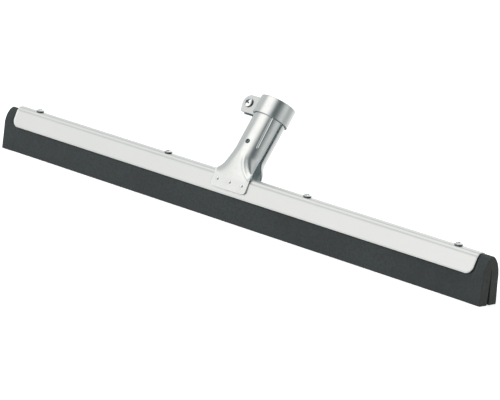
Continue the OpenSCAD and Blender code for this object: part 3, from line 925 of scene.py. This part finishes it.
def clamp_ring():
    """The ring: a strip of even thickness along its middle line, as high as the ears' outline."""
    line = ring_line()
    outwards = left_of(line)
    middle = len(line) // 2
    outwards = outwards * np.sign(outwards[middle] @ line[middle])
    bottom, top = ear_span(line[:, 0])
    share = np.linspace(0, 1, 34)[:, None]
    s = bottom * (1 - share) + top * share
    lines = (line + offset * outwards for offset in (RING_WALL / 2, -RING_WALL / 2))
    return sheet_grids(*(on_stem(*place.T, s) for place in lines))


# Screws and nut


def turned(radius, height, around, place):
    """Points at these radii, heights and angles round an upright axis, set in place."""
    return place(radius * np.cos(around), radius * np.sin(around), height)


def cross_recess(x, y, size):
    """Depth of a cross recess: two tapered slots that deepen to the middle."""
    arm, width = RECESS_REACH * size, RECESS_HALF * size
    ax, ay = np.abs(x), np.abs(y)
    in_slot = np.maximum(falling(ax, width, width + 0.12) * falling(ay, arm * 0.72, arm),
                         falling(ay, width, width + 0.12) * falling(ax, arm * 0.72, arm))
    return in_slot * (RECESS_DEPTH * size - RECESS_SLOPE * np.hypot(x, y))


def screw(head_r, head_h, shank_r, shank_l, place, slot_turn):
    """A pan-head screw with a cross recess: a domed head and a shank with a helical thread.

    The thread's radius is a rounded triangle wave of height over pitch less the turn.
    """
    around = np.linspace(0, 2 * np.pi, 121)[None, :]
    edge_h = HEAD_EDGE * head_h
    out = spread([0, 0.93, 1], [40, 9]) * head_r
    dome_h = head_h - edge_h
    dome_r = (head_r ** 2 + dome_h ** 2) / (2 * dome_h)
    top = head_h - dome_r + np.sqrt(dome_r ** 2 - out ** 2)
    x, y = out[:, None] * np.cos(around), out[:, None] * np.sin(around)
    spin = np.exp(1j * slot_turn) * (x + 1j * y)
    recess = cross_recess(spin.real, spin.imag, head_r)
    dome = place(x, y, top[:, None] - recess)
    # The recess's deep cells take the dark finish: painted shade in the cross recess
    recess_shade = (recess[:-1, :-1] + recess[1:, 1:]) > 0.25 * head_r
    rounding = rounded_path([[head_r, edge_h], [head_r, 0], [shank_r, 0]], [HEAD_ROUND_R], 0.08)
    side = turned(rounding[:, :1], rounding[:, 1:], around, place)
    heights = np.arange(0, shank_l + 0.01, 0.09)[:, None]
    wave = np.abs(((heights / THREAD_PITCH - around / (2 * np.pi)) % 1) - 0.5) * 2
    fade = between(heights, 0.2, 1.2, shank_l - TIP_L, shank_l)
    taper = TIP_TAPER * smooth(heights, shank_l - TIP_L, shank_l)
    radius = shank_r - taper - THREAD_DEPTH * smooth(wave, 0.25, 0.95) * fade
    shank = turned(radius, -heights, around, place)
    tip = turned(np.linspace(1, 0, 6)[:, None] * radius[-1], -heights[-1], around, place)
    # The head's rim and recess are painted dark as shade
    return [(dome, ~recess_shade), (dome, recess_shade, CUT_AND_SHADE), (side, None, CUT_AND_SHADE), (shank, None),
            (tip, None)]


def nut(place):
    """A hexagon nut: its section at each angle runs round the bore, the faces and the sides,
    with corners cut back by a 30 degree cone."""
    around = np.linspace(0, 2 * np.pi, 181)[None, :]
    flat_turn = (around + np.pi / 6) % (np.pi / 3) - np.pi / 6
    side_r = np.minimum(NUT_FLATS / 2 / np.cos(flat_turn),
                        NUT_FLATS / 2 / np.cos(np.pi / 6) - NUT_CUT)
    cone_r = NUT_FLATS / 2 - NUT_CUT
    drop = np.maximum(side_r - cone_r, 0) * np.tan(np.pi / 6)
    bore = BOLT_R + BORE_GAP
    lower = [(bore, NUT_H / 2), (bore, 0.4), (bore + 0.4, 0), (cone_r - 0.5, 0), (cone_r, 0),
             (side_r, drop), (side_r, drop + 0.15), (side_r, NUT_H / 2)]
    rows = [(r, NUT_H - h) for r, h in lower] + lower[-2::-1]
    radius, height = (np.concatenate([np.broadcast_to(value, around.shape) for value in values])
                      for values in zip(*rows))
    return [(turned(radius, height, around, place), None)]


def rail_screw_place(x_centre):
    """Puts points drawn upright on a rail screw's seat."""
    return lambda x, y, z: point_array(x + x_centre, y, z + RAIL_TOP + SEAT_GAP)


def bolt_place(behind):
    """Puts points drawn upright on the clamp screw's axis: their height runs to the front."""
    return lambda x, y, z: on_stem(x - EAR_X, behind - z, y + BOLT_S)


# Pieces

# The cut edges' dark tone is partly painted shade: the shadow lines under the ring and beside the flanges
cut_edge_and_shade_look = cut_edge_and_shade_finish()
socket_looks = [zinc_finish("zinc_plated_sheet", 0.2), cut_edge_and_shade_look,
                inside_finish("dull_plated_inside", (0.72, 0.79, 0.8)),
                dark_finish("heat_marked_steel", (0.34, 0.35, 0.345))]
# The ring's inner face, and with it the rear ear, is painted dark as shade
ring_looks = [zinc_finish("zinc_plated_strip", 0.18), cut_edge_and_shade_look,
              inside_finish("strip_inside_painted_shade", (0.16, 0.185, 0.19))]
# The screws' second finish paints shade on their rims and recesses
screw_looks = [screw_finish(), dark_finish("screw_rim_painted_shade", (0.19, 0.195, 0.2))]

make_piece("rail_sheet", rail(), [rail_finish()], "root", ["channel"])
make_piece("folded_rubber", rubber(), [rubber_finish(), cut_rubber_finish()], "root",
           ["blade"], 50)
for name, half in (("front", FRONT_HALF), ("rear", REAR_HALF)):
    make_piece(f"socket_{name}_half", socket_half(half), socket_looks, "root",
               [f"socket_{name}"])
make_piece("ring_strip", clamp_ring(), ring_looks, "ring", ["clamp_ring"])
for number, (letter, slot_turn) in enumerate(zip("abcd", (0.3, 1.0, 0.1, 0.7)), start=1):
    node = f"rail_screw_{number}"
    place = rail_screw_place(np.mean(node_box(node), axis=0)[0])
    make_piece(f"plated_screw_{number}",
               screw(RAIL_HEAD_R, RAIL_HEAD_H, RAIL_SHANK_R, RAIL_SHANK_L, place, slot_turn),
               screw_looks, f"rail_screw_{letter}", [node])
make_piece("plated_clamp_screw",
           screw(BOLT_HEAD_R, BOLT_HEAD_H, BOLT_R, BOLT_L, bolt_place(-EAR_OUT - SEAT_GAP), 0.5),
           screw_looks, "ring_screw", ["clamp_screw"])
make_piece("plated_nut", nut(bolt_place(EAR_OUT + SEAT_GAP + NUT_H)), screw_looks[:1], "ring_nut",
           ["clamp_nut"])
# The strip inside the rubber keeps its shape from model.glb and takes a galvanised finish
strip = frame["nodes"]["clamp_strip"]
strip.data.materials.clear()
strip.data.materials.append(bar_finish())


# Floor, light and camera


def mixed(tree, share, first, second):
    """A mix of two shaders: the first where the share is 0, the second where it is 1."""
    node = tree.nodes.new("ShaderNodeMixShader")
    for socket, output in zip(node.inputs, (share, first, second)):
        tree.links.new(output, socket)
    return node.outputs[0]


def floor():
    """A plain pale floor, wide enough to fill every view."""
    reach, count = 12000.0, 9
    x, y = np.meshgrid(np.linspace(-reach, reach, count), np.linspace(-reach, reach, count))
    mesh = bpy.data.meshes.new("floor")
    mesh.from_pydata((point_array(x, y, -0.05) * MM).reshape(-1, 3).tolist(), [],
                     grid_cells(count, count).reshape(-1, 4).tolist())
    look = bpy.data.materials.new("pale_floor")
    look.use_nodes = True
    shader = look.node_tree.nodes["Principled BSDF"]
    set_inputs(shader, {"Base Color": (0.93, 0.93, 0.93, 1), "Roughness": 0.9,
                        "Specular IOR Level": 0.0, "Emission Color": (1, 1, 1, 1),
                        "Emission Strength": 0.4})
    # The object's lower side is lit by a duller floor than the camera sees, and its gloss
    # mirrors the surroundings as they are above the floor
    nodes = look.node_tree.nodes
    path = nodes.new("ShaderNodeLightPath")
    dull = nodes.new("ShaderNodeBsdfDiffuse")
    dull.inputs["Color"].default_value = (0.58, 0.585, 0.59, 1)
    clear = nodes.new("ShaderNodeBsdfTransparent")
    unseen = mixed(look.node_tree, path.outputs["Is Glossy Ray"], dull.outputs[0],
                   clear.outputs[0])
    seen = mixed(look.node_tree, path.outputs["Is Camera Ray"], unseen, shader.outputs[0])
    look.node_tree.links.new(seen, nodes["Material Output"].inputs["Surface"])
    mesh.materials.append(look)
    new_object("floor", mesh)


# Tone at each angle round the object, in degrees from straight in front towards +X
ROUND_TONES = [(-180, 0.92), (-158, 1.0), (-138, 1.08), (-121, 0.68), (-64, 0.66), (-46, 1.08),
               (-34, 1.26), (4, 1.28), (22, 1.0), (34, 0.68), (45, 0.3), (54, 0.16), (69, 0.16),
               (81, 0.3), (93, 0.58), (105, 0.74), (114, 0.66), (126, 0.5), (138, 0.52),
               (150, 0.6), (165, 0.8), (180, 0.92)]


def studio():
    """Soft studio surroundings: tones by the direction's angle round the object, from straight
    in front of it, which the metal reflects; the camera itself sees a plain pale backdrop."""
    world = bpy.data.worlds.new("studio")
    bpy.context.scene.world = world
    world.use_nodes = True
    nodes, links = world.node_tree.nodes, world.node_tree.links
    nodes.clear()
    place = nodes.new("ShaderNodeTexCoord").outputs["Generated"]
    split = nodes.new("ShaderNodeSeparateXYZ")
    links.new(place, split.inputs[0])

    def math(kind, first, second):
        """A sum of the kind named, of plain numbers or nodes' outputs."""
        node = nodes.new("ShaderNodeMath")
        node.operation = kind
        for socket, value in zip(node.inputs, (first, second)):
            if isinstance(value, (int, float)):
                socket.default_value = value
            else:
                links.new(value, socket)
        return node.outputs[0]

    front = math("MULTIPLY", split.outputs["Y"], -1)
    turn = math("ARCTAN2", split.outputs["X"], front)
    share = math("ADD", math("DIVIDE", turn, 2 * np.pi), 0.5)
    round_tones = nodes.new("ShaderNodeValToRGB")
    links.new(share, round_tones.inputs[0])
    ramp = round_tones.color_ramp
    ramp.interpolation = "EASE"
    for index, (degrees, tone) in enumerate(ROUND_TONES):
        at = degrees / 360 + 0.5
        stop = ramp.elements[index] if index < 2 else ramp.elements.new(at)
        stop.position = at
        shade = max(1 - tone, 0)
        stop.color = (tone * (1 - 0.15 * shade), tone, tone * (0.98 + 0.05 * shade), 1)
    from_camera = nodes.new("ShaderNodeLightPath").outputs["Is Camera Ray"]
    studio_light = nodes.new("ShaderNodeBackground")
    links.new(round_tones.outputs["Color"], studio_light.inputs["Color"])
    backdrop = nodes.new("ShaderNodeBackground")
    backdrop.inputs["Color"].default_value = (0.97, 0.97, 0.97, 1)
    seen = mixed(world.node_tree, from_camera, studio_light.outputs[0], backdrop.outputs[0])
    links.new(seen, nodes.new("ShaderNodeOutputWorld").inputs["Surface"])


LIGHT_TARGET = Vector((0, 0, 0.03))


def area_light(name, place, size, power):
    """A square soft light at a place in metres, turned to the object; its gloss isn't seen."""
    data = bpy.data.lights.new(name, "AREA")
    data.size = size
    data.energy = power
    lamp = new_object(name, data)
    lamp.location = place
    lamp.rotation_euler = (LIGHT_TARGET - Vector(place)).to_track_quat("-Z", "Y").to_euler()
    lamp.visible_glossy = False


# Camera: the viewing angles, distance and focal length that fit the photograph's outlines
CAMERA_YAW = np.radians(43.65)
CAMERA_PITCH = np.radians(13.17)
CAMERA_ROLL = np.radians(5.74)
CAMERA_DISTANCE = 2574.5
CAMERA_TARGET = np.array([17.93, 0, 21.27])
CAMERA_FOCAL_PIXELS = 3195.4
PHOTO_WIDTH = 500


def camera():
    """The photograph's view: the camera stands back from the target along its viewing line."""
    back = np.array([np.sin(CAMERA_YAW) * np.cos(CAMERA_PITCH),
                     -np.cos(CAMERA_YAW) * np.cos(CAMERA_PITCH), np.sin(CAMERA_PITCH)])
    level = unit(np.cross([0, 0, 1], back))
    right = np.cos(CAMERA_ROLL) * level + np.sin(CAMERA_ROLL) * np.cross(back, level)
    data = bpy.data.cameras.new("camera")
    data.sensor_width = 36.0
    data.lens = CAMERA_FOCAL_PIXELS / PHOTO_WIDTH * data.sensor_width
    data.clip_end = 100
    matrix = Matrix(np.column_stack([right, np.cross(back, right), back]).tolist()).to_4x4()
    matrix.translation = Vector((CAMERA_TARGET + CAMERA_DISTANCE * back) * MM)
    piece = new_object("camera", data)
    piece.matrix_world = matrix
    bpy.context.scene.camera = piece


floor()
studio()
area_light("front_softbox", (-1.1, -1.7, 1.6), 1.6, 26)
area_light("right_softbox", (1.8, 0.15, 0.8), 1.0, 12)
camera()
bpy.context.scene.view_settings.view_transform = "Standard"
